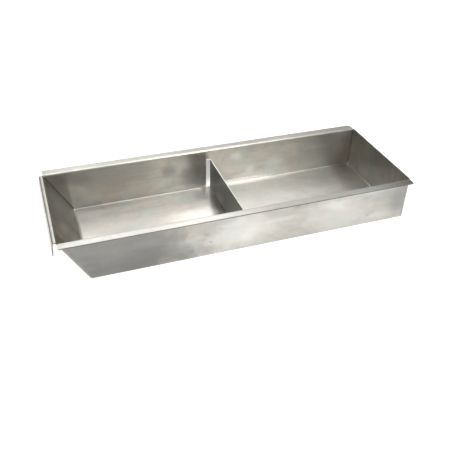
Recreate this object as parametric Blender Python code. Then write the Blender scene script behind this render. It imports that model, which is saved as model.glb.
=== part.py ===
"""Trough feeder: a folded stainless trough whose sloped end hooks over a rail.

One sheet is folded into a channel with a flange along each long side.  An end plate closes each
end: the square one is flat, and the sloped one is folded over at its top into a hanging hook.  A
lower divider plate, with a tab folded along each side, parts the trough in two.  Weld seams close
the ends, and short weld beads hold the divider.

Row frame, in metres: +X runs along the trough from the sloped end to the square end, +Y from the
front wall to the back wall, +Z up.  The origin is the centre of the underside.
"""

import math

import bmesh
import bpy
from mathutils import Vector

# The trough, measured inside its walls.
OPENING_LENGTH = 0.600
OPENING_WIDTH = 0.198
HEIGHT = 0.080
SLOPE_RUN = 0.044
FLANGE_WIDTH = 0.016
FLANGE_CORNER = 0.002
SNIPPED_CORNER = 0.006

# The sheet and the inner radii of its bends.
SHEET = 0.0015
CHANNEL_BEND = 0.0020
FOLD_BEND = 0.0010
DIVIDER_BEND = 0.0005

# The hook at the sloped end's rim: a narrow flat top, and a lip that hangs outside.
HOOK_REACH = 0.0055
LIP_DROP = 0.0225
LIP_FLARE = math.radians(5)

# The divider.
DIVIDER_X = 0.0020
DIVIDER_HEIGHT = 0.060
TAB_WIDTH = 0.009

# The end seams reach this far along each sheet, measured from the corner of their mid-planes.
SEAM_REACH = 0.0026
SEAM_FILLET = 0.0010

# The beads that hold the divider.
BEAD_LEG = 0.0024
EDGE_BEAD_LEG = 0.0014
FOOT_BEAD_LENGTH = 0.005
EDGE_BEAD_LENGTH = 0.010
STITCH_LENGTH = 0.014
STITCH_SPACING = 0.062

# Clearance between pieces, and the steps of the round stretches.
GAP = 0.0003
BEND_STEPS = 5
BEAD_STEPS = 5
BEAD_STATIONS = 9

HALF_LENGTH = OPENING_LENGTH / 2
HALF_WIDTH = OPENING_WIDTH / 2
OUTER_HALF_WIDTH = HALF_WIDTH + SHEET
OUTER_BEND = CHANNEL_BEND + SHEET
SLOPE_TAN = SLOPE_RUN / (HEIGHT - SHEET)
SLOPE = math.atan(SLOPE_TAN)
NOTCH_TOP = HEIGHT - OUTER_BEND - GAP
PLATE_INSET = SHEET / 2 + SEAM_REACH + GAP
DIVIDER_TOP = SHEET + DIVIDER_HEIGHT

SQUARE, SLOPED = "square", "sloped"
RIGHT, BACK, UP = Vector((1, 0, 0)), Vector((0, 1, 0)), Vector((0, 0, 1))

SHEET_FINISH = ((0.56, 0.56, 0.53), 0.32)
SEAM_FINISH = ((0.62, 0.61, 0.58), 0.24)
BEAD_FINISH = ((0.66, 0.65, 0.62), 0.30)


def clear_scene():
    for thing in list(bpy.data.objects):
        bpy.data.objects.remove(thing, do_unlink=True)


def metal(name, colour, roughness):
    material = bpy.data.materials.new(name)
    material.use_nodes = True
    shader = material.node_tree.nodes["Principled BSDF"]
    shader.inputs["Base Color"].default_value = (*colour, 1.0)
    shader.inputs["Metallic"].default_value = 1.0
    shader.inputs["Roughness"].default_value = roughness
    return material


def add_object(bm, name):
    bmesh.ops.recalc_face_normals(bm, faces=bm.faces)
    mesh = bpy.data.meshes.new(name)
    bm.to_mesh(mesh)
    bm.free()
    thing = bpy.data.objects.new(name, mesh)
    bpy.context.scene.collection.objects.link(thing)
    return thing


def add_part(bm, name, finish, assembly):
    """A sub-part of the assembly, with a material of its own and its round stretches smooth."""
    part = add_object(bm, name)
    part.data.materials.append(metal(name + "_metal", *finish))
    part.data.shade_smooth()
    part.data.set_sharp_from_angle(angle=math.radians(40))
    part.parent = assembly
    return part


def boolean(part, tool, operation):
    """Cuts the tool away from the part, or keeps only what lies inside the tool."""
    tool.hide_render = True
    tool.display_type = "WIRE"
    modifier = part.modifiers.new(tool.name, "BOOLEAN")
    modifier.operation = operation
    modifier.solver = "EXACT"
    modifier.object = tool


def loft(bm, rings):
    """A closed body through rings of points that all have the same count, with both ends capped."""
    rings = [[bm.verts.new(point) for point in ring] for ring in rings]
    for ring, following in zip(rings, rings[1:]):
        for index in range(len(ring)):
            after = (index + 1) % len(ring)
            bm.faces.new((ring[index], ring[after], following[after], following[index]))
    bm.faces.new(rings[0])
    bm.faces.new(rings[-1])
    return rings


def prism(outline, place, low, high):
    """The outline swept from one level to another; place turns (u, v, level) into a point."""
    bm = bmesh.new()
    loft(bm, [[place(u, v, level) for u, v in outline] for level in (low, high)])
    return bm


def along_x(u, v, level):
    return Vector((level, u, v))


def along_y(u, v, level):
    return Vector((u, level, v))


def along_z(u, v, level):
    return Vector((u, v, level))


def left_of(direction):
    return Vector((-direction.y, direction.x))


def rotated(vector, angle):
    cosine, sine = math.cos(angle), math.sin(angle)
    return Vector((vector.x * cosine - vector.y * sine, vector.x * sine + vector.y * cosine))


def offset_path(path, offset, mid_radius):
    """The path moved to its left by the offset, with an arc round each of its corners."""
    first = (path[1] - path[0]).normalized()
    last = (path[-1] - path[-2]).normalized()
    points = [path[0] + left_of(first) * offset]
    for before, corner, after in zip(path, path[1:], path[2:]):
        way_in = (corner - before).normalized()
        way_out = (after - corner).normalized()
        angle = math.atan2(way_in.cross(way_out), way_in.dot(way_out))
        side = math.copysign(1, angle)
        normals = left_of(way_in) + left_of(way_out)
        centre = corner + normals * (side * mid_radius / (1 + way_in.dot(way_out)))
        for step in range(BEND_STEPS + 1):
            normal = rotated(left_of(way_in), angle * step / BEND_STEPS)
            points.append(centre - normal * (side * mid_radius - offset))
    points.append(path[-1] + left_of(last) * offset)
    return points


def folded_outline(path, inner_radius):
    """The edge view of a sheet folded along a mid-line path."""
    mid_radius = inner_radius + SHEET / 2
    left = offset_path(path, SHEET / 2, mid_radius)
    right = offset_path(path, -SHEET / 2, mid_radius)
    return left + right[::-1]


def end_x(end, outward, z):
    """X at a height, this far outward from an end plate's inner face."""
    if end == SQUARE:
        return HALF_LENGTH + outward
    return -HALF_LENGTH + (HEIGHT - z) * SLOPE_TAN - outward / math.cos(SLOPE)


def underside_stations(depth=0.0):
    """Points and inward normals round the channel's underside and its bends, front to back.

    The points lie this deep below the channel's outer face.
    """
    radius = OUTER_BEND - depth
    stations = []
    for side, start in ((-1, math.pi), (1, 1.5 * math.pi)):
        centre = Vector((side * (OUTER_HALF_WIDTH - OUTER_BEND), OUTER_BEND))
        for step in range(BEND_STEPS + 1):
            angle = start + 0.5 * math.pi * step / BEND_STEPS
            outward = Vector((math.cos(angle), math.sin(angle)))
            stations.append((centre + outward * radius, -outward))
    return stations


def wall_stations(side):
    """The foot and the head of an end seam on the front wall (side -1) or the back wall (side 1)."""
    inward = Vector((-side, 0.0))
    levels = (OUTER_BEND + GAP, NOTCH_TOP - GAP)
    return [(Vector((side * OUTER_HALF_WIDTH, z)), inward) for z in levels]


def round_edges(bm, edges, radius):
    bmesh.ops.bevel(
        bm,
        geom=edges,
        offset=radius,
        segments=BEND_STEPS,
        profile=0.5,
        affect="EDGES",
    )


def make_channel(assembly):
    half_mid = HALF_WIDTH + SHEET / 2
    half_flange = HALF_WIDTH + FLANGE_WIDTH
    rim = HEIGHT - SHEET / 2
    path = [
        Vector((-half_flange, rim)),
        Vector((-half_mid, rim)),
        Vector((-half_mid, SHEET / 2)),
        Vector((half_mid, SHEET / 2)),
        Vector((half_mid, rim)),
        Vector((half_flange, rim)),
    ]
    bm = bmesh.new()
    outline = folded_outline(path, CHANNEL_BEND)
    ends = [[along_x(u, v, x) for u, v in outline] for x in (-HALF_LENGTH, HALF_LENGTH)]
    rings = loft(bm, ends)
    middle = len(outline) // 2
    tips = []
    for ring in rings:
        tips.append(bm.edges.get((ring[0], ring[-1])))
        tips.append(bm.edges.get((ring[middle - 1], ring[middle])))
    # The last tip is the back flange's at the square end, which was snipped off shorter.
    round_edges(bm, tips[:-1], FLANGE_CORNER)
    round_edges(bm, tips[-1:], SNIPPED_CORNER)
    channel = add_part(bm, "trough_channel", SHEET_FINISH, assembly)
    for end in (SQUARE, SLOPED):
        boolean(channel, make_wall_cutter(end), "DIFFERENCE")


def make_wall_cutter(end):
    """Trims the walls and the floor back from an end plate, and leaves the flanges their length."""
    near = -(SEAM_REACH - SHEET / 2 + GAP)
    far = SLOPE_RUN
    outline = [(near, -SHEET), (far, -SHEET), (far, NOTCH_TOP), (near, NOTCH_TOP)]

    def place(outward, z, y):
        return Vector((end_x(end, outward, z), y, z))

    reach = OUTER_HALF_WIDTH + SHEET
    return add_object(prism(outline, place, -reach, reach), end + "_wall_cutter")


def make_square_end_plate(assembly):
    wide = HALF_WIDTH - GAP
    narrow = OUTER_HALF_WIDTH - PLATE_INSET
    outline = [
        (-narrow, PLATE_INSET),
        (narrow, PLATE_INSET),
        (narrow, NOTCH_TOP),
        (wide, NOTCH_TOP),
        (wide, HEIGHT),
        (-wide, HEIGHT),
        (-wide, NOTCH_TOP),
        (-narrow, NOTCH_TOP),
    ]
    bm = prism(outline, along_x, HALF_LENGTH, HALF_LENGTH + SHEET)
    add_part(bm, "square_end_plate", SHEET_FINISH, assembly)


def sloped_end_outline():
    """Edge view of the sloped end plate: up the slope, out along the hook's top and down the lip."""
    rim = HEIGHT - SHEET / 2
    foot = Vector((end_x(SLOPED, SHEET / 2, PLATE_INSET), PLATE_INSET))
    inner_corner = Vector((end_x(SLOPED, SHEET / 2, rim), rim))
    outer_corner = Vector((-HALF_LENGTH - HOOK_REACH, rim))
    drop = rim - (HEIGHT - LIP_DROP)
    tip = outer_corner - Vector((drop * math.tan(LIP_FLARE), drop))
    outline = folded_outline([foot, inner_corner, outer_corner, tip], FOLD_BEND)
    outline[0] = Vector((end_x(SLOPED, SHEET, PLATE_INSET), PLATE_INSET))
    outline[-1] = Vector((end_x(SLOPED, 0.0, PLATE_INSET), PLATE_INSET))
    return outline


def make_sloped_end_plate(assembly):
    wide = HALF_WIDTH - GAP
    bm = prism(sloped_end_outline(), along_y, -wide, wide)
    plate = add_part(bm, "sloped_end_plate", SHEET_FINISH, assembly)
    for name, side in (("front", -1), ("back", 1)):
        boolean(plate, make_plate_edge_cutter(name, side), "DIFFERENCE")


def make_plate_edge_cutter(name, side):
    """Trims one edge of the sloped plate back for its seam, below the fold."""
    slack = SHEET / 2
    bottom = PLATE_INSET - SHEET
    low, high = -slack, SHEET + slack
    outline = [(low, bottom), (high, bottom), (high, NOTCH_TOP), (low, NOTCH_TOP)]

    def place(outward, z, y):
        return Vector((end_x(SLOPED, outward, z), y, z))

    levels = (OUTER_HALF_WIDTH - PLATE_INSET, OUTER_HALF_WIDTH)
    low_y, high_y = sorted(side * level for level in levels)
    return add_object(prism(outline, place, low_y, high_y), name + "_edge_cutter")


def seam_section():
    """Section of an end seam as (outward, depth): a rounded outer corner and an inner fillet."""
    corner = Vector((SHEET / 2, SHEET / 2))
    on_channel = corner - Vector((SEAM_REACH, 0.0))
    on_plate = corner + Vector((0.0, SEAM_REACH))
    return folded_outline([on_channel, corner, on_plate], SEAM_FILLET)


def make_seam(name, end, stations, assembly):
    """A weld seam that follows the channel's outer face round an end plate."""
    rings = []
    for point, inward in stations:
        ring = []
        for outward, depth in seam_section():
            y, z = point + inward * depth
            ring.append(Vector((end_x(end, outward, z), y, z)))
        rings.append(ring)
    bm = bmesh.new()
    loft(bm, rings)
    add_part(bm, name, SEAM_FINISH, assembly)


def make_seams(assembly):
    for end in (SLOPED, SQUARE):
        make_seam(end + "_end_front_seam", end, wall_stations(-1), assembly)
        make_seam(end + "_end_floor_seam", end, underside_stations(), assembly)
        make_seam(end + "_end_back_seam", end, wall_stations(1), assembly)


def make_divider(assembly):
    """The divider plate and its two tabs, trimmed to the inside of the channel."""
    tab_mid = HALF_WIDTH - GAP - SHEET / 2
    tab_end = DIVIDER_X + SHEET / 2 - TAB_WIDTH
    path = [
        Vector((tab_end, -tab_mid)),
        Vector((DIVIDER_X, -tab_mid)),
        Vector((DIVIDER_X, tab_mid)),
        Vector((tab_end, tab_mid)),
    ]
    bm = prism(folded_outline(path, DIVIDER_BEND), along_z, 0.0, DIVIDER_TOP)
    divider = add_part(bm, "divider_plate", SHEET_FINISH, assembly)
    bends = [point for point, _ in underside_stations(SHEET + GAP)]
    inside = [Vector((bends[0].x, HEIGHT))] + bends + [Vector((bends[-1].x, HEIGHT))]
    guide = prism(inside, along_x, -2 * TAB_WIDTH, 2 * TAB_WIDTH)
    boolean(divider, add_object(guide, "channel_inside_guide"), "INTERSECT")


def make_bead(name, corner, along, legs, assembly):
    """A short fillet weld in the corner between two faces, with run-out ends.

    The vector along is the weld's length and direction, and each leg runs up one of the faces.
    """
    bm = bmesh.new()
    rings = []
    for station in range(BEAD_STATIONS):
        angle = math.pi * (station + 1) / (BEAD_STATIONS + 1)
        middle = corner - along * (math.cos(angle) / 2)
        grow = math.sqrt(math.sin(angle))
        ring = [middle]
        for step in range(BEAD_STEPS + 1):
            share = 0.5 * math.pi * step / BEAD_STEPS
            out = legs[0] * math.cos(share) + legs[1] * math.sin(share)
            ring.append(middle + out * grow)
        rings.append(ring)
    loft(bm, rings)
    add_part(bm, name, BEAD_FINISH, assembly)


def make_tab_beads(name, side, assembly):
    """The beads of one tab: across its foot on the floor, and up its edge on the wall."""
    tab_end = DIVIDER_X + SHEET / 2 - TAB_WIDTH
    tab_face = HALF_WIDTH - 2 * GAP - SHEET
    inward = Vector((0, -side, 0))
    foot = Vector((tab_end + TAB_WIDTH / 2 - SHEET, side * tab_face, SHEET + GAP))
    legs = (inward * BEAD_LEG, UP * BEAD_LEG)
    make_bead(f"divider_{name}_foot_bead", foot, RIGHT * FOOT_BEAD_LENGTH, legs, assembly)
    edge_z = DIVIDER_TOP - EDGE_BEAD_LENGTH
    edge = Vector((tab_end - GAP, side * (HALF_WIDTH - GAP), edge_z))
    legs = (inward * EDGE_BEAD_LEG, -RIGHT * EDGE_BEAD_LEG)
    make_bead(f"divider_{name}_edge_bead", edge, UP * EDGE_BEAD_LENGTH, legs, assembly)


def make_stitch(name, y, assembly):
    """A floor weld on the divider's face away from its tabs."""
    foot_x = DIVIDER_X + SHEET / 2 + GAP
    corner = Vector((foot_x, y, SHEET + GAP))
    legs = (RIGHT * BEAD_LEG, UP * BEAD_LEG)
    make_bead(f"divider_{name}_stitch", corner, BACK * STITCH_LENGTH, legs, assembly)


def make_divider_beads(assembly):
    for name, side in (("front", -1), ("back", 1)):
        make_tab_beads(name, side, assembly)
        make_stitch(name, side * STITCH_SPACING, assembly)
    make_stitch("middle", 0.0, assembly)


def main():
    clear_scene()
    assembly = bpy.data.objects.new("trough_feeder", None)
    bpy.context.scene.collection.objects.link(assembly)
    make_channel(assembly)
    make_sloped_end_plate(assembly)
    make_square_end_plate(assembly)
    make_divider(assembly)
    make_seams(assembly)
    make_divider_beads(assembly)


main()
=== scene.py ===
"""Looks of the trough feeder: fine sheet-metal meshes in brushed stainless steel, on the CAD frame."""

import math
from typing import NamedTuple

import bmesh
import bpy
from mathutils import Matrix, Vector, noise


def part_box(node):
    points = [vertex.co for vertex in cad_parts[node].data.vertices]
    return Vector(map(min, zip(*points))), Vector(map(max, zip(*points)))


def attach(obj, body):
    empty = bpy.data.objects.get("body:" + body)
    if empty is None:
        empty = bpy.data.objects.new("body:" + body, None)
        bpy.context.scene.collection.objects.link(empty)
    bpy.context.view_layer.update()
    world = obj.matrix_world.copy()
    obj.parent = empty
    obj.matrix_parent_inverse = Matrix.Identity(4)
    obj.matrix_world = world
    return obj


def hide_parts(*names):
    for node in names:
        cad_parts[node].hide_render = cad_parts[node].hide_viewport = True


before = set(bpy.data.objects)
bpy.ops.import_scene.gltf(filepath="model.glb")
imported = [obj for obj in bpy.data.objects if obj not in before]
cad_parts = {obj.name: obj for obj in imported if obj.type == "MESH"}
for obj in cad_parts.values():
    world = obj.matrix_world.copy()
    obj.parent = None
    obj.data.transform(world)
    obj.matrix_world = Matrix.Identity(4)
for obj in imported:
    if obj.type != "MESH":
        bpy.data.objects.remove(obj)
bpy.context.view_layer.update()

# Sizes that the CAD source also names, in metres.
SHEET = 0.0015
CHANNEL_BEND = 0.0020
FOLD_BEND = 0.0010
DIVIDER_BEND = 0.0005
SLOPE_RUN = 0.044
LIP_DROP = 0.0225
LIP_FLARE = math.radians(5)
HOOK_REACH = 0.0055
SEAM_REACH = 0.0026
SEAM_FILLET = 0.0010
GAP = 0.0003
FLANGE_CORNER = 0.002
SNIPPED_CORNER = 0.006

# Sizes read from the frame.
CHANNEL_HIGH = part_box("trough_channel")[1]
DIVIDER_LOW, DIVIDER_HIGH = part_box("divider_plate")
HALF_LENGTH = CHANNEL_HIGH.x
HEIGHT = CHANNEL_HIGH.z
HALF_FLANGE = CHANNEL_HIGH.y
OUTER_HALF_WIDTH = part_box("square_end_floor_seam")[1].y
HALF_WIDTH = OUTER_HALF_WIDTH - SHEET
OUTER_BEND = CHANNEL_BEND + SHEET
SLOPE_TAN = SLOPE_RUN / (HEIGHT - SHEET)
SLOPE = math.atan(SLOPE_TAN)
NOTCH_TOP = HEIGHT - OUTER_BEND - GAP
PLATE_INSET = SHEET / 2 + SEAM_REACH + GAP
DIVIDER_X = DIVIDER_HIGH.x - SHEET / 2
SQUARE, SLOPED = "square", "sloped"

# The size of a sheet's mesh cells and a seam's, the steps round a bend, the radius of a worn rim,
# and how far a fine sheet reaches past its CAD solid's edge into a weld seam.
SPACING = 0.005
SEAM_SPACING = 0.0015
BEND_STEPS = 10
RIM_RADIUS = 0.0003
MERGE = 0.0004

# How far the floor, the walls and ends, and the free rims stray from flat.
FLOOR_SWELL = 0.00035
WALL_SWELL = 0.00030
RIM_SWELL = 0.00025

# The height of a seam's crown, how much it varies, and how far its ground face wanders.
SEAM_CROWN = 0.00035
SEAM_UNEVEN = 0.00012
SEAM_DRIFT = 0.00003


# ---------------------------------------------------------------- sheet metal

def left_of(direction):
    return Vector((-direction.y, direction.x))


def rotated(vector, angle):
    cosine, sine = math.cos(angle), math.sin(angle)
    return Vector((vector.x * cosine - vector.y * sine, vector.x * sine + vector.y * cosine))


def smoothstep(low, high, value):
    share = min(1.0, max(0.0, (value - low) / (high - low)))
    return share * share * (3 - 2 * share)


def path_stations(corners, mid_radius):
    """Points and left normals along a folded mid-line, with an arc round each corner."""
    starts, arcs = [corners[0]], []
    for before, corner, after in zip(corners, corners[1:], corners[2:]):
        way_in, way_out = (corner - before).normalized(), (after - corner).normalized()
        angle = math.atan2(way_in.cross(way_out), way_in.dot(way_out))
        side = math.copysign(1, angle)
        normals = left_of(way_in) + left_of(way_out)
        centre = corner + normals * (side * mid_radius / (1 + way_in.dot(way_out)))
        arc = []
        for step in range(BEND_STEPS + 1):
            normal = rotated(left_of(way_in), angle * step / BEND_STEPS)
            arc.append((centre - normal * (side * mid_radius), normal))
        arcs.append(arc)
        starts.append(arc[-1][0])
    stations = []
    for index, start in enumerate(starts):
        end = arcs[index][0][0] if index < len(arcs) else corners[-1]
        normal = left_of((end - start).normalized())
        count = max(2, round((end - start).length / SPACING))
        stations += [(start.lerp(end, step / count), normal) for step in range(count + 1)]
        if index < len(arcs):
            stations += arcs[index][1:-1]
    return stations


def with_breaks(stations, limits):
    """The stations, with two more wherever the sheet's limits jump."""
    halvings = 12
    result = [stations[0]]
    for (start, normal), (end, after) in zip(stations, stations[1:]):
        low, high = 0.0, 1.0
        first, last = limits(start), limits(end)
        if max(abs(first[0] - last[0]), abs(first[1] - last[1])) > SHEET:
            for _ in range(halvings):
                middle = (low + high) / 2
                here = limits(start.lerp(end, middle))
                if abs(here[0] - first[0]) + abs(here[1] - first[1]) < SHEET:
                    low = middle
                else:
                    high = middle
            result += [(start.lerp(end, low), normal), (start.lerp(end, high), normal)]
        result.append((end, after))
    return result


def sheet_piece(name, corners, inner_radius, place, limits, wave, material, grain_down=False):
    """A folded sheet: the path is its edge view, and each path point is swept between its limits.

    place turns (u, v, level) into a point, and wave gives the sheet's small shift along its normal.
    """
    stations = with_breaks(path_stations(corners, inner_radius + SHEET / 2), limits)
    spans = [limits(point) for point, _ in stations]
    count = max(2, round(max(high - low for low, high in spans) / SPACING))
    bm = bmesh.new()
    grain = bm.loops.layers.uv.new("grain")
    sides, distance = ([], []), 0.0
    for index, (point, normal) in enumerate(stations):
        if index:
            distance += (point - stations[index - 1][0]).length
        low, high = spans[index]
        levels = [low + (high - low) * step / count for step in range(count + 1)]
        for side, rows in zip((1, -1), sides):
            row = []
            for level in levels:
                shift = side * SHEET / 2 + wave(point, level)
                at = point + normal * shift
                vert = bm.verts.new(place(at.x, at.y, level))
                row.append((vert, (distance, level) if grain_down else (level, distance)))
            rows.append(row)

    def rim_quad(start):
        """A quad from one side of the sheet to the other, as (side, place along the rim)."""
        return (0, start), (1, start), (1, start + 1), (0, start + 1)

    quads = []
    last = len(stations) - 1
    for index in range(last):
        for step in range(count):
            corner = [(index, step), (index + 1, step), (index + 1, step + 1), (index, step + 1)]
            quads.append([sides[0][a][b] for a, b in corner])
            quads.append([sides[1][a][b] for a, b in reversed(corner)])
    for index in range(last):
        for step in (0, count):
            quads.append([sides[side][at][step] for side, at in rim_quad(index)])
    for step in range(count):
        for index in (0, last):
            quads.append([sides[side][index][at] for side, at in rim_quad(step)])
    for quad in quads:
        face = bm.faces.new([vert for vert, _ in quad])
        for loop, (_, uv) in zip(face.loops, quad):
            loop[grain].uv = uv
    bmesh.ops.recalc_face_normals(bm, faces=bm.faces)
    finish_piece(bm, name, material, RIM_RADIUS)


def finish_piece(bm, name, material, rim=0.0, sharp_angle=35):
    """A piece that stands for the CAD node of the same name."""
    for face in bm.faces:
        face.smooth = True
    mesh = bpy.data.meshes.new(name)
    bm.to_mesh(mesh)
    bm.free()
    piece = bpy.data.objects.new("fine_" + name, mesh)
    bpy.context.scene.collection.objects.link(piece)
    mesh.materials.append(material)
    mesh.set_sharp_from_angle(angle=math.radians(sharp_angle))
    if rim:
        bevel = piece.modifiers.new("worn_rim", "BEVEL")
        bevel.width = rim
        bevel.segments = 2
        bevel.limit_method = "ANGLE"
        bevel.angle_limit = math.radians(50)
        bevel.harden_normals = True
    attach(piece, "root")
    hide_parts(name)


def along_x(u, v, level):
    return Vector((level, u, v))


def along_y(u, v, level):
    return Vector((u, level, v))


def along_z(u, v, level):
    return Vector((u, v, level))


def end_x(end, outward, z):
    """X at a height, this far outward from an end plate's inner face."""
    if end == SQUARE:
        return HALF_LENGTH + outward
    return -HALF_LENGTH + (HEIGHT - z) * SLOPE_TAN - outward / math.cos(SLOPE)


def hand_flat(x, y, seed):
    """Height of a sheet that isn't quite flat, about -1 to 1, with swells of 80 mm and small ripples."""
    swells_per_metre, ripples_per_metre, ripple_height = 12, 30, 0.35
    swell = noise.noise(Vector((x * swells_per_metre, y * swells_per_metre, seed)))
    ripple = noise.noise(Vector((x * ripples_per_metre, y * ripples_per_metre, seed + 5)))
    return swell + ripple_height * ripple


# ---------------------------------------------------------------- pieces

def corner_trim(out, radius):
    """How much a rounded flange corner takes off the flange's length, this far out."""
    into = max(0.0, out - (HALF_FLANGE - radius))
    return radius - math.sqrt(max(0.0, radius ** 2 - into ** 2))


def make_channel(material):
    half_mid = HALF_WIDTH + SHEET / 2
    rim = HEIGHT - SHEET / 2
    corners = [
        Vector((-HALF_FLANGE, rim)),
        Vector((-half_mid, rim)),
        Vector((-half_mid, SHEET / 2)),
        Vector((half_mid, SHEET / 2)),
        Vector((half_mid, rim)),
        Vector((HALF_FLANGE, rim)),
    ]
    inset = SEAM_REACH - SHEET / 2 + GAP - MERGE

    def limits(point):
        if point.y < NOTCH_TOP:
            return end_x(SLOPED, -inset, point.y), end_x(SQUARE, -inset, point.y)
        beyond = abs(point.x)
        square_corner = SNIPPED_CORNER if point.x > 0 else FLANGE_CORNER
        low = -HALF_LENGTH + corner_trim(beyond, FLANGE_CORNER)
        return low, HALF_LENGTH - corner_trim(beyond, square_corner)

    flange_start = OUTER_HALF_WIDTH + CHANNEL_BEND
    end_fade, divider_fade, floor_fade, wall_fade = 0.030, 0.012, 0.035, 0.022
    slower = 0.6

    def wave(point, x):
        ends = smoothstep(0, end_fade, HALF_LENGTH - abs(x))
        ends *= smoothstep(0, divider_fade, abs(x - DIVIDER_X))
        side_seed = point.x * 40
        if point.y > NOTCH_TOP and abs(point.x) > flange_start:
            away = smoothstep(flange_start, HALF_FLANGE, abs(point.x))
            return RIM_SWELL * away * hand_flat(x * slower, 0, seed=3.0 + side_seed)
        if point.y < SHEET:
            free = smoothstep(0, floor_fade, half_mid - OUTER_BEND - abs(point.x))
            return FLOOR_SWELL * free * ends * hand_flat(x, point.x, seed=11.0)
        free = smoothstep(0, wall_fade, min(point.y - OUTER_BEND, rim - OUTER_BEND - point.y))
        return WALL_SWELL * free * ends * hand_flat(x, point.y, seed=20.0 + side_seed)

    sheet_piece("trough_channel", corners, CHANNEL_BEND, along_x, limits, wave, material)


def make_square_end_plate(material):
    wide = HALF_WIDTH - GAP
    narrow = OUTER_HALF_WIDTH - PLATE_INSET + MERGE
    across = HALF_LENGTH + SHEET / 2
    corners = [Vector((across, -wide)), Vector((across, wide))]

    def limits(point):
        return (PLATE_INSET - MERGE if abs(point.y) < narrow else NOTCH_TOP), HEIGHT

    fade = 0.030

    def wave(point, z):
        free = smoothstep(0, fade, narrow - abs(point.y)) * smoothstep(0, fade, z - PLATE_INSET)
        return WALL_SWELL * free * hand_flat(point.y, z, seed=31.0)

    sheet_piece("square_end_plate", corners, 0.0, along_z, limits, wave, material)


def make_sloped_end_plate(material):
    rim = HEIGHT - SHEET / 2
    foot_z = PLATE_INSET - MERGE
    foot = Vector((end_x(SLOPED, SHEET / 2, foot_z), foot_z))
    inner_corner = Vector((end_x(SLOPED, SHEET / 2, rim), rim))
    outer_corner = Vector((-HALF_LENGTH - HOOK_REACH, rim))
    drop = rim - (HEIGHT - LIP_DROP)
    tip = outer_corner - Vector((drop * math.tan(LIP_FLARE), drop))
    wide = HALF_WIDTH - GAP
    narrow = OUTER_HALF_WIDTH - PLATE_INSET + MERGE

    def limits(point):
        on_slope = point.x > end_x(SLOPED, SHEET, point.y)
        half = narrow if on_slope and point.y < NOTCH_TOP else wide
        return -half, half

    side_fade, upright_fade, stiff_foot, stiff_fold = 0.030, 0.020, 0.005, 0.004
    slower = 0.7

    def wave(point, y):
        if point.x > inner_corner.x:
            across = smoothstep(0, side_fade, narrow - abs(y))
            upwards = smoothstep(0, upright_fade, min(point.y, HEIGHT - point.y) - stiff_foot)
            return WALL_SWELL * across * upwards * hand_flat(y, point.y, seed=41.0)
        down = smoothstep(0, upright_fade, HEIGHT - stiff_fold - point.y)
        return RIM_SWELL * down * hand_flat(y * slower, 0, seed=47.0)

    path = [foot, inner_corner, outer_corner, tip]
    sheet_piece("sloped_end_plate", path, FOLD_BEND, along_y, limits, wave, material, grain_down=True)


def make_divider(material):
    tab_mid = HALF_WIDTH - GAP - SHEET / 2
    corners = [
        Vector((DIVIDER_LOW.x, -tab_mid)),
        Vector((DIVIDER_X, -tab_mid)),
        Vector((DIVIDER_X, tab_mid)),
        Vector((DIVIDER_LOW.x, tab_mid)),
    ]

    def limits(point):
        into_bend = max(0.0, abs(point.y) - (HALF_WIDTH - CHANNEL_BEND))
        inner = CHANNEL_BEND - GAP
        lift = CHANNEL_BEND - math.sqrt(max(0.0, inner ** 2 - into_bend ** 2))
        return SHEET + max(GAP, lift), DIVIDER_HIGH.z

    side_fade, foot_fade, stiff_margin = 0.030, 0.020, 0.004

    def wave(point, z):
        across = smoothstep(0, side_fade, tab_mid - stiff_margin - abs(point.y))
        upwards = smoothstep(0, foot_fade, z - stiff_margin)
        return WALL_SWELL * across * upwards * hand_flat(point.y, z, seed=53.0)

    sheet_piece("divider_plate", corners, DIVIDER_BEND, along_z, limits, wave, material)


# ---------------------------------------------------------------- welds

def loft_piece(name, rings, lengths, material, sharp_angle=50):
    """A closed body through rings of points; lengths gives each ring's distance along the piece."""
    bm = bmesh.new()
    grain = bm.loops.layers.uv.new("grain")
    rows = [[bm.verts.new(point) for point in ring] for ring in rings]
    size = len(rows[0])
    rim = [0.0]
    for point, following in zip(rings[0], rings[0][1:] + rings[0][:1]):
        rim.append(rim[-1] + (following - point).length)
    for index in range(len(rows) - 1):
        for step in range(size):
            after = (step + 1) % size
            near, far = rows[index], rows[index + 1]
            face = bm.faces.new((near[step], near[after], far[after], far[step]))
            places = ((index, step), (index, step + 1), (index + 1, step + 1), (index + 1, step))
            for loop, (a, b) in zip(face.loops, places):
                loop[grain].uv = (lengths[a], rim[b])
    for row, length in ((rows[0], lengths[0]), (rows[-1], lengths[-1])):
        face = bm.faces.new(row)
        for loop in face.loops:
            loop[grain].uv = (length, 0)
    bmesh.ops.recalc_face_normals(bm, faces=bm.faces)
    finish_piece(bm, name, material, sharp_angle=sharp_angle)


def seam_outline(swell):
    """The two faces of an end seam's section, as (outward, depth): ground outside, a fillet inside."""
    corner = Vector((SHEET / 2, SHEET / 2))
    on_channel = corner - Vector((SEAM_REACH, 0.0))
    on_plate = corner + Vector((0.0, SEAM_REACH))
    stations = path_stations([on_channel, corner, on_plate], SEAM_FILLET + SHEET / 2)
    ground = [point - normal * (SHEET / 2) for point, normal in stations]
    middle = (len(stations) - 1) / 2
    fillet = []
    for index, (point, normal) in enumerate(stations):
        crown = swell * (1 - ((index - middle) / middle) ** 2)
        fillet.append(point + normal * (SHEET / 2 + crown))
    return ground, fillet


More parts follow.
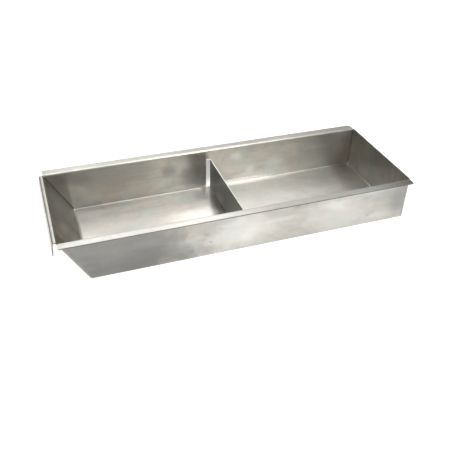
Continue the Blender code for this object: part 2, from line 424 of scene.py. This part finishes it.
def make_seam(name, end, stations, material):
    """A ground weld seam that follows the channel's outer face round an end plate."""
    beads_per_metre, bends_per_metre = 260, 60
    rings, lengths = [], []
    length = 0.0
    seed = sum(map(ord, name)) % 17
    for index, (point, inward) in enumerate(stations):
        if index:
            length += (point - stations[index - 1][0]).length
        uneven = noise.noise(Vector((length * beads_per_metre, seed, 0)))
        drift = noise.noise(Vector((length * bends_per_metre, seed, 9)))
        ground, fillet = seam_outline(SEAM_CROWN + SEAM_UNEVEN * uneven)
        ring = []
        for outward, depth in [*ground, *reversed(fillet)]:
            y, z = point + inward * (depth + SEAM_DRIFT * drift)
            ring.append(Vector((end_x(end, outward, z), y, z)))
        rings.append(ring)
        lengths.append(length)
    loft_piece(name, rings, lengths, material)


def between(start, end, spacing):
    count = max(2, round((end - start).length / spacing))
    return [start.lerp(end, step / count) for step in range(count + 1)]


def make_seams(wall_material, floor_material):
    """Three seams at each end: up both walls, and along the floor with its bends."""
    centre_y = OUTER_HALF_WIDTH - OUTER_BEND
    for end in (SLOPED, SQUARE):
        for name, side in (("front", -1), ("back", 1)):
            foot = Vector((side * OUTER_HALF_WIDTH, OUTER_BEND))
            head = Vector((side * OUTER_HALF_WIDTH, NOTCH_TOP - GAP))
            stations = [(point, Vector((-side, 0.0))) for point in between(foot, head, SEAM_SPACING)]
            make_seam(f"{end}_end_{name}_seam", end, stations, wall_material)
        stations = []
        for side, start in ((-1, math.pi), (1, 1.5 * math.pi)):
            centre = Vector((side * centre_y, OUTER_BEND))
            arc = []
            for step in range(BEND_STEPS + 1):
                angle = start + 0.5 * math.pi * step / BEND_STEPS
                outward = Vector((math.cos(angle), math.sin(angle)))
                arc.append((centre + outward * OUTER_BEND, -outward))
            stations += arc
            if side < 0:
                flat = between(Vector((-centre_y, 0.0)), Vector((centre_y, 0.0)), SEAM_SPACING)
                stations += [(point, Vector((0.0, 1.0))) for point in flat[1:-1]]
        make_seam(f"{end}_end_floor_seam", end, stations, floor_material)


def make_bead(name, material):
    """A short rippled fillet weld that fills its CAD node's box, in the corner of two faces."""
    low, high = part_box(name)
    size = high - low
    lengthwise = max(range(3), key=lambda axis: size[axis])
    others = [axis for axis in range(3) if axis != lengthwise]
    centre = (low + high) / 2
    corner = Vector(centre)
    legs = []
    for axis in others:
        towards = bead_corner_side(name, axis, centre)
        edge = high if towards > 0 else low
        corner[axis] = edge[axis] + towards * GAP
        leg = Vector((0, 0, 0))
        leg[axis] = -towards * (size[axis] + GAP)
        legs.append(leg)
    along = Vector((0, 0, 0))
    along[lengthwise] = size[lengthwise]
    stations, steps, ripple, ripple_depth = 48, 10, 0.0011, 0.10
    lumps_per_metre, lumpiness = 900, 0.06
    rings, lengths = [], []
    for station in range(stations):
        angle = math.pi * (station + 1) / (stations + 1)
        length = (1 - math.cos(angle)) / 2 * along.length
        phase = (length % ripple) / ripple
        grow = math.sqrt(math.sin(angle)) * (1 - ripple_depth * phase ** 2)
        middle = corner - along * (math.cos(angle) / 2)
        ring = [middle]
        for step in range(steps + 1):
            share = 0.5 * math.pi * step / steps
            lump = noise.noise(middle * lumps_per_metre + Vector((0, 0, step * 0.4)))
            spoke = legs[0] * math.cos(share) + legs[1] * math.sin(share)
            ring.append(middle + spoke * (grow * (1 + lumpiness * lump)))
        rings.append(ring)
        lengths.append(length)
    loft_piece(name, rings, lengths, material, sharp_angle=60)


def bead_corner_side(name, axis, centre):
    """Which way the bead's corner lies along an axis: 1 up the axis, -1 down it."""
    if axis == 1:
        return 1 if centre.y > 0 else -1
    if axis == 2:
        return -1
    return 1 if name.endswith("edge_bead") else -1


# ---------------------------------------------------------------- materials

class Nodes:
    """A material's node tree, with short calls for the nodes that the finishes use."""

    def __init__(self, name):
        self.material = bpy.data.materials.new(name)
        self.material.use_nodes = True
        self.tree = self.material.node_tree
        self.shader = self.tree.nodes["Principled BSDF"]

    def add(self, kind, **values):
        node = self.tree.nodes.new("ShaderNode" + kind)
        for name, value in values.items():
            setattr(node, name, value)
        return node

    def feed(self, socket, value):
        if isinstance(value, bpy.types.NodeSocket):
            self.tree.links.new(value, socket)
        else:
            socket.default_value = value

    def math(self, operation, first, second=0.0):
        node = self.add("Math", operation=operation)
        self.feed(node.inputs[0], first)
        self.feed(node.inputs[1], second)
        return node.outputs[0]

    def stretch(self, vector, scale):
        node = self.add("Mapping")
        self.feed(node.inputs["Vector"], vector)
        node.inputs["Scale"].default_value = scale
        return node.outputs[0]

    def noise(self, vector, scale, detail=4.0, roughness=0.5, distortion=0.0):
        node = self.add("TexNoise")
        self.feed(node.inputs["Vector"], vector)
        node.inputs["Scale"].default_value = scale
        node.inputs["Detail"].default_value = detail
        node.inputs["Roughness"].default_value = roughness
        node.inputs["Distortion"].default_value = distortion
        return node.outputs["Fac"]

    def between(self, value, low, high, to_low=0.0, to_high=1.0):
        """The value's smooth rise from low to high, as a number from to_low to to_high."""
        node = self.add("MapRange", interpolation_type="SMOOTHSTEP")
        self.feed(node.inputs["Value"], value)
        limits = {"From Min": low, "From Max": high, "To Min": to_low, "To Max": to_high}
        for name, number in limits.items():
            node.inputs[name].default_value = number
        return node.outputs["Result"]

    def mix(self, share, first, second, blend="MIX"):
        node = self.add("Mix", data_type="RGBA", blend_type=blend)
        self.feed(node.inputs["Factor"], share)
        self.feed(node.inputs["A"], first)
        self.feed(node.inputs["B"], second)
        return node.outputs["Result"]

    def spot(self, position, centre, half_sizes, soft, ragged):
        """1 inside an ellipsoid and 0 outside it, with an edge that is this soft and this ragged."""
        offset = self.add("VectorMath", operation="SUBTRACT")
        self.feed(offset.inputs[0], position)
        offset.inputs[1].default_value = centre
        scaled = self.add("VectorMath", operation="DIVIDE")
        self.feed(scaled.inputs[0], offset.outputs[0])
        scaled.inputs[1].default_value = half_sizes
        away = self.add("VectorMath", operation="LENGTH")
        self.feed(away.inputs[0], scaled.outputs[0])
        cell = sorted(half_sizes)[1] / 1.2
        uneven = self.math("SUBTRACT", self.noise(position, 1 / cell, detail=4.0, roughness=0.6), 0.5)
        uneven = self.math("MULTIPLY", uneven, 2 * ragged)
        distance = self.math("ADD", away.outputs["Value"], uneven)
        return self.between(distance, 1 - soft, 1.0, 1.0, 0.0)


def grey(level, warm=0.0):
    """A grey that leans to yellow as warm rises, or to blue below zero."""
    return (level * (1 + 0.3 * warm), level, level * (1 - warm), 1.0)


class Mark(NamedTuple):
    """A stain, a rubbed place, or a patch of painted light or shade: an ellipsoid about a point of the
    sheet, in metres.
    """

    centre: tuple
    half_sizes: tuple
    strength: float
    colour: tuple
    duller: float = 0.0     # added to the roughness
    chalky: float = 0.0     # taken from the metallic value


# Noise cells per metre along the grain and across it.
CLOUD, MOTTLE, GRAIN, STREAK = (7, 20, 1), (34, 80, 1), (7, 900, 1), (3, 220, 1)

# The sheets' two clouded greys and their gloss.
SHEET_LIGHT, SHEET_DARK = grey(0.66, 0.05), grey(0.52, 0.06)
SHEET_ROUGHNESS = 0.31
SHEET_ANISOTROPY = 0.95
WELD_ANISOTROPY = 0.3
MARK_DEPTH = 0.0012


class Steel(Nodes):
    """Stainless steel with a fine grain, cloudy water marks and faint scratches."""

    def __init__(self, name, light, dark, roughness):
        super().__init__(name)
        self.position = self.add("TexCoord").outputs["Object"]
        self.uv = self.add("UVMap", uv_map="grain").outputs["UV"]
        cloud = self.noise(self.stretch(self.uv, CLOUD), 1.0, detail=6.0, roughness=0.58, distortion=0.5)
        cloud = self.between(cloud, 0.36, 0.64)
        mottle = self.noise(self.stretch(self.uv, MOTTLE), 1.0, detail=3.0, roughness=0.55, distortion=0.3)
        mottle = self.between(mottle, 0.38, 0.66)
        self.grain = self.noise(self.stretch(self.uv, GRAIN), 1.0, detail=3.0, roughness=0.65)
        self.streak = self.noise(self.stretch(self.uv, STREAK), 1.0, detail=3.0, roughness=0.6)
        tint = self.noise(self.position, 21, detail=3.0, roughness=0.6, distortion=0.4)
        spotting = self.noise(self.position, 85, detail=2.0, roughness=0.55, distortion=0.2)

        self.colour = self.mix(cloud, dark, light)
        self.metal = 1.0
        self.rough = self.between(cloud, 0.0, 1.0, roughness + 0.03, roughness - 0.03)
        self.roughen(mottle, 0.035)
        self.roughen(self.math("SUBTRACT", self.grain, 0.5), 0.06)
        self.paint(self.math("MULTIPLY", mottle, 0.30), grey(0.50, 0.06))
        self.paint(self.between(self.streak, 0.55, 0.75, 0.0, 0.22), grey(0.80, 0.05))
        self.paint(self.between(spotting, 0.52, 0.72, 0.0, 0.28), grey(0.42, 0.03))
        cool, warm = (0.98, 1.0, 0.98, 1.0), (1.05, 0.995, 0.95, 1.0)
        shade = self.mix(self.between(tint, 0.40, 0.62), cool, warm)
        self.colour = self.mix(1.0, self.colour, shade, "MULTIPLY")

    def roughen(self, share, amount):
        self.rough = self.math("ADD", self.rough, self.math("MULTIPLY", share, amount))

    def paint(self, share, colour, duller=0.0, chalky=0.0):
        """Lay a colour over the steel where share is 1, and make it this much duller and chalkier."""
        self.colour = self.mix(share, self.colour, colour)
        if duller:
            self.roughen(share, duller)
        if chalky:
            self.metal = self.math("SUBTRACT", self.metal, self.math("MULTIPLY", share, chalky))

    def axes(self, vector):
        node = self.add("SeparateXYZ")
        self.feed(node.inputs[0], vector)
        return node.outputs["X"], node.outputs["Y"], node.outputs["Z"]

    def at_edge(self, coordinate, edge):
        """1 in the last 0.2 mm before an edge, and 0 more than 0.5 mm before it."""
        return self.between(coordinate, edge - 0.0005, edge - 0.0002)

    def add_marks(self, marks):
        for mark in marks:
            share = self.spot(self.position, mark.centre, mark.half_sizes, soft=0.75, ragged=0.35)
            share = self.math("MULTIPLY", share, mark.strength)
            self.paint(share, mark.colour, mark.duller, mark.chalky)

    def add_painted_dark_reflection(self):
        """A painted dark reflection over the front wall's outer face towards the sloped end, a little
        duller, up to an uneven border across the wall.
        """
        border, unevenness = -0.096, 0.16
        fading_share, crisp_share = 0.525, 0.225
        outer_face = -OUTER_HALF_WIDTH
        x, y, z = self.axes(self.position)
        drift = self.noise(self.position, 17, detail=5.0, roughness=0.6, distortion=0.4)
        drift = self.math("SUBTRACT", drift, 0.5)
        along = self.math("ADD", x, self.math("MULTIPLY", drift, unevenness))
        fading = self.between(along, border - 0.10, border + 0.06, fading_share, 0.0)
        crisp = self.between(along, border + 0.005, border + 0.020, crisp_share, 0.0)
        outside = self.between(y, outer_face + 0.0004, outer_face + 0.0009, 1.0, 0.0)
        below = self.between(z, HEIGHT - 2 * SHEET, HEIGHT - SHEET, 1.0, 0.0)
        on_wall = self.math("MULTIPLY", outside, below)
        share = self.math("MULTIPLY", self.math("ADD", fading, crisp), on_wall)
        # Painted dark reflection, a little duller.
        self.paint(share, grey(0.20, 0.02), duller=0.05)

    def paint_shadow_on_cut_edges(self, half_width):
        """Painted shadow: the sheet's cut edges, where it ends at this distance from the middle of the
        trough, darkened as a line of shade.
        """
        across = self.math("ABSOLUTE", self.axes(self.position)[1])
        self.paint(self.math("MULTIPLY", self.at_edge(across, half_width), 0.8), grey(0.10))

    def darken_ground_face(self, colour):
        """Another colour for a seam's outer face, which comes first round its section."""
        face_width, border = 0.0060, 0.0006
        round_section = self.axes(self.uv)[1]
        self.paint(self.between(round_section, face_width, face_width + border, 1.0, 0.0), colour)

    def paint_divider_highlights(self):
        """Painted highlights: the divider's tabs pale, chalky and duller, palest at the foot, and a bright
        line along its top cut edge.
        """
        x, y, z = self.axes(self.position)
        fold = DIVIDER_X - SHEET / 2
        on_tab = self.between(x, fold - 0.0004, fold - 0.0001, 1.0, 0.0)
        # Painted highlight on the tabs, palest near the foot.
        pale = self.mix(self.between(z, 0.006, 0.030), grey(0.98, 0.03), grey(0.60, 0.03))
        self.paint(on_tab, pale, duller=0.25, chalky=0.85)
        # Painted highlight along the top cut edge.
        self.paint(self.at_edge(z, DIVIDER_HIGH.z), grey(0.85, 0.03))

    def finished(self, anisotropy):
        """The material, with its grain raised a little."""
        bump = self.add("Bump")
        bump.inputs["Strength"].default_value = 0.2
        bump.inputs["Distance"].default_value = 0.00002
        height = self.math("ADD", self.grain, self.math("MULTIPLY", self.streak, 1.6))
        self.feed(bump.inputs["Height"], height)
        tangent = self.add("Tangent", direction_type="UV_MAP", uv_map="grain")
        inputs = self.shader.inputs
        self.feed(inputs["Tangent"], tangent.outputs[0])
        self.feed(inputs["Base Color"], self.colour)
        self.feed(inputs["Roughness"], self.rough)
        self.feed(inputs["Normal"], bump.outputs[0])
        self.feed(inputs["Metallic"], self.metal)
        inputs["Anisotropic"].default_value = anisotropy
        inputs["Anisotropic Rotation"].default_value = 0.25
        return self.material


def channel_stains_and_painted_light():
    """Stains, rubbed places, and painted light and shade on the folded channel, face by face."""
    front, back, deep = -OUTER_HALF_WIDTH, HALF_WIDTH, MARK_DEPTH
    flange = HALF_FLANGE - 0.0065
    rubbed, stained = grey(0.84, 0.04), grey(0.34, 0.03)
    return [
        # Specks and stains on the front wall's outer face, and painted reflections that set its brightness
        # along the wall.
        Mark((-0.062, front, 0.028), (0.0022, deep, 0.0022), 1.0, grey(0.16), duller=0.1),
        Mark((-0.045, front, 0.050), (0.008, deep, 0.004), 0.6, stained, duller=0.05),
        Mark((-0.077, front, 0.035), (0.012, deep, 0.005), 0.4, stained, duller=0.05),
        Mark((0.089, front, 0.065), (0.009, deep, 0.003), 0.5, stained, duller=0.05),
        Mark((0.227, front, 0.020), (0.006, deep, 0.006), 0.4, stained, duller=0.05),
        # Painted reflections: paler across the middle of the wall, darker near the square end.
        Mark((-0.010, front, 0.040), (0.085, deep, 0.045), 0.65, grey(0.88, 0.05), duller=0.02),
        Mark((0.170, front, 0.030), (0.090, deep, 0.045), 0.45, grey(0.86, 0.05)),
        Mark((0.305, front, 0.040), (0.060, deep, 0.060), 0.9, grey(0.36, 0.04), duller=0.04),
        # A painted highlight on the floor beside the back bend, a little duller.
        Mark((0.080, 0.0930, SHEET), (0.110, 0.0060, deep), 0.7, grey(0.92, 0.05), duller=0.05),
        # The back wall's stained patch, its rubbed patches and a painted highlight along the bend at its
        # foot.
        Mark((-0.079, back, 0.050), (0.020, deep, 0.017), 0.75, grey(0.36, 0.03), duller=0.04),
        Mark((0.053, back, 0.060), (0.016, deep, 0.012), 0.7, rubbed, duller=0.02),
        Mark((0.083, back, 0.026), (0.014, deep, 0.010), 0.5, rubbed, duller=0.02),
        Mark((0.129, back, 0.036), (0.030, deep, 0.014), 0.5, rubbed, duller=0.02),
        # Painted highlight along the bend at the wall's foot, near-white and a little duller.
        Mark((0.060, back, 0.005), (0.100, deep, 0.0065), 1.0, (1.0, 0.97, 0.93, 1.0), duller=0.10),
        Mark((-0.060, back, 0.008), (0.050, deep, 0.010), 0.5, rubbed, duller=0.06),
        Mark((-0.006, back, 0.069), (0.0025, deep, 0.012), 0.7, rubbed, duller=0.05),
        # The flanges, with painted reflections: darker and duller in the middle of the back one, paler and
        # then darker and duller along the front one.
        Mark((0.010, flange, HEIGHT), (0.150, 0.009, deep), 0.8, grey(0.40, 0.03), duller=0.03),
        Mark((-0.120, -flange, HEIGHT), (0.220, 0.009, deep), 0.25, grey(0.86, 0.04)),
        Mark((0.305, -flange, HEIGHT), (0.060, 0.009, deep), 0.7, grey(0.30, 0.03), duller=0.02),
        # Painted reflections on the floor: wide paler places, some a little duller, and painted shade of
        # the divider near its foot in the left compartment.
        Mark((0.090, 0.020, SHEET), (0.130, 0.110, deep), 0.3, grey(0.88, 0.04)),
        Mark((0.280, 0.020, SHEET), (0.055, 0.110, deep), 0.5, grey(0.94, 0.04), duller=0.04),
        Mark((-0.024, 0.073, SHEET), (0.020, 0.026, deep), 0.6, grey(0.26, 0.03), duller=0.02),
        Mark((-0.050, 0.015, SHEET), (0.070, 0.028, deep), 0.5, grey(0.95, 0.04)),
        # Dull places on the back wall: a painted dark reflection of the divider beside its tab, and a dull
        # place high up near the sloped end.
        Mark((-0.034, back, 0.030), (0.030, deep, 0.034), 0.6, grey(0.26, 0.02), duller=0.02),
        Mark((-0.255, back, 0.062), (0.050, deep, 0.020), 0.4, grey(0.30, 0.02), duller=0.02),
    ]


def plate_marks():
    """Heat stains, a pale place and a speck on the sloped end."""
    speck = grey(0.95, 0.02)
    return [
        Mark((-0.2960, 0.082, 0.072), (0.010, 0.013, 0.011), 0.7, (0.40, 0.30, 0.23, 1.0), duller=0.05),
        Mark((-0.2680, -0.070, 0.022), (0.030, 0.040, 0.024), 0.5, (0.50, 0.43, 0.35, 1.0), duller=0.03),
        Mark((-0.2850, 0.020, 0.050), (0.030, 0.080, 0.035), 0.5, grey(0.84, 0.03)),
        Mark((-0.2916, -0.008, 0.065), (0.002, 0.0011, 0.0013), 1.0, speck, duller=0.2, chalky=0.8),
    ]


def divider_painted_shade():
    """Painted shade on the divider's face, on the side of its tabs: nearly black, duller and less
    metallic.
    """
    face = DIVIDER_X - SHEET / 2
    # Nearly black, as painted shade.
    painted_shade_colour = grey(0.08, 0.02)
    return [Mark((face, 0.060, 0.030), (MARK_DEPTH, 0.110, 0.060), 0.9, painted_shade_colour, duller=0.02, chalky=0.5)]


def channel_steel():
    steel = Steel("stainless_sheet", SHEET_LIGHT, SHEET_DARK, SHEET_ROUGHNESS)
    steel.add_marks(channel_stains_and_painted_light())
    steel.add_painted_dark_reflection()
    steel.paint_shadow_on_cut_edges(HALF_FLANGE)
    return steel.finished(SHEET_ANISOTROPY)


def end_plate_steel():
    steel = Steel("end_plate_sheet", SHEET_LIGHT, SHEET_DARK, SHEET_ROUGHNESS)
    steel.add_marks(plate_marks())
    steel.paint_shadow_on_cut_edges(HALF_WIDTH - GAP)
    return steel.finished(SHEET_ANISOTROPY)


def divider_steel_with_painted_light():
    # Painted shade: the sheets' steel in darker greys, for the divider's shaded faces.
    steel = Steel("divider_sheet", grey(0.38, 0.03), grey(0.29, 0.04), SHEET_ROUGHNESS)
    steel.add_marks(divider_painted_shade())
    steel.paint_divider_highlights()
    return steel.finished(SHEET_ANISOTROPY)


def wall_seam_steel():
    steel = Steel("wall_seam", grey(0.36, 0.05), grey(0.26, 0.05), roughness=0.30)
    return steel.finished(WELD_ANISOTROPY)


def floor_seam_steel_with_painted_highlight():
    # Painted highlight: the inner fillet is paler than the sheet, as the bright line along the floor's
    # inside corners.
    steel = Steel("floor_seam", grey(0.84, 0.04), grey(0.72, 0.05), roughness=0.34)
    steel.darken_ground_face(grey(0.26, 0.04))
    return steel.finished(WELD_ANISOTROPY)


def bead_steel():
    steel = Steel("weld_bead", grey(0.72, 0.08), grey(0.60, 0.08), roughness=0.30)
    return steel.finished(anisotropy=0.0)


# ---------------------------------------------------------------- studio

LIGHT_DISTANCE = 2.6
SOFTBOX_SIZE = 1.1

# Name, azimuth and elevation in degrees, and radiance.
SOFTBOXES = [
    ("back_left_softbox", -15, 50, 0.8),
    ("back_softbox", 10, 50, 1.3),
    ("back_right_softbox", 35, 50, 1.5),
    ("top_softbox", 0, 85, 5.0),
    ("front_right_high_softbox", 140, 60, 4.5),
    ("front_right_low_softbox", 140, 30, 0.7),
    ("front_left_softbox", 220, 30, 0.4),
]


def make_camera():
    """The photographer's place: in front and a little left, looking down and to the right."""
    place = Vector((-0.3085, -0.836, 0.6245))
    turn, down, tilt = math.radians(20.15), math.radians(35.95), math.radians(1.45)
    ahead = Vector((math.sin(turn) * math.cos(down), math.cos(turn) * math.cos(down), -math.sin(down)))
    across = Vector((math.cos(turn), -math.sin(turn), 0.0))
    above = across.cross(ahead)
    side = across * math.cos(tilt) + above * math.sin(tilt)
    top = above * math.cos(tilt) - across * math.sin(tilt)
    data = bpy.data.cameras.new("camera")
    data.lens = 48.4
    data.sensor_width = 36.0
    camera = bpy.data.objects.new("camera", data)
    camera.matrix_world = Matrix.Translation(place) @ Matrix((side, top, -ahead)).transposed().to_4x4()
    bpy.context.scene.collection.objects.link(camera)
    bpy.context.scene.camera = camera


def hang_light(data, azimuth, elevation, target=Vector((0, 0, 0))):
    """A light that faces its target.  Its azimuth turns from straight behind to the right."""
    turn, lift = math.radians(azimuth), math.radians(elevation)
    away = Vector((math.sin(turn) * math.cos(lift), math.cos(turn) * math.cos(lift), math.sin(lift)))
    light = bpy.data.objects.new(data.name, data)
    light.location = target + away * LIGHT_DISTANCE
    light.rotation_euler = away.to_track_quat("Z", "Y").to_euler()
    bpy.context.scene.collection.objects.link(light)


def make_softbox(name, azimuth, elevation, radiance):
    data = bpy.data.lights.new(name, "AREA")
    data.shape = "SQUARE"
    data.size = SOFTBOX_SIZE
    data.energy = radiance * math.pi * SOFTBOX_SIZE ** 2
    hang_light(data, azimuth, elevation)


def make_spot():
    """A snooted spot from the front left that picks out the divider's back tab."""
    tab = Vector((-0.0035, HALF_WIDTH, 0.022))
    data = bpy.data.lights.new("tab_spot", "SPOT")
    data.spot_size = math.radians(2.0)
    data.spot_blend = 0.8
    data.shadow_soft_size = 0.02
    data.energy = 320
    hang_light(data, 195, 45, target=tab)


def make_floor():
    """A pale table, lit from within like a light table, so that shadows stay faint."""
    clearance = 0.0003
    bm = bmesh.new()
    bmesh.ops.create_circle(bm, cap_ends=True, segments=96, radius=12)
    mesh = bpy.data.meshes.new("studio_floor")
    bm.to_mesh(mesh)
    bm.free()
    floor = bpy.data.objects.new("studio_floor", mesh)
    floor.location.z = -clearance
    bpy.context.scene.collection.objects.link(floor)
    made = Nodes("studio_floor")
    inputs = made.shader.inputs
    inputs["Base Color"].default_value = (0.42, 0.42, 0.415, 1)
    inputs["Roughness"].default_value = 0.9
    inputs["Specular IOR Level"].default_value = 0.0
    inputs["Emission Color"].default_value = (1, 1, 1, 1)
    inputs["Emission Strength"].default_value = 0.90
    mesh.materials.append(made.material)


def make_world():
    """Pale walls all round, dimmer in the metal's reflections than they look from the camera."""
    reflected, seen = 0.30, 1.00
    world = bpy.data.worlds.new("studio")
    world.use_nodes = True
    nodes, links = world.node_tree.nodes, world.node_tree.links
    path = nodes.new("ShaderNodeLightPath")
    strength = nodes.new("ShaderNodeMapRange")
    strength.inputs["To Min"].default_value = reflected
    strength.inputs["To Max"].default_value = seen
    walls = nodes["Background"]
    walls.inputs["Color"].default_value = (1.0, 1.0, 1.0, 1)
    links.new(path.outputs["Is Camera Ray"], strength.inputs["Value"])
    links.new(strength.outputs["Result"], walls.inputs["Strength"])
    bpy.context.scene.world = world


def make_studio():
    make_camera()
    make_floor()
    make_world()
    for name, azimuth, elevation, radiance in SOFTBOXES:
        make_softbox(name, azimuth, elevation, radiance)
    make_spot()
    bpy.context.scene.view_settings.view_transform = "Standard"


def main():
    plate = end_plate_steel()
    bead = bead_steel()
    make_channel(channel_steel())
    make_square_end_plate(plate)
    make_sloped_end_plate(plate)
    make_divider(divider_steel_with_painted_light())
    make_seams(wall_seam_steel(), floor_seam_steel_with_painted_highlight())
    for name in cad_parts:
        if name.endswith(("_bead", "_stitch")):
            make_bead(name, bead)
    make_studio()


main()
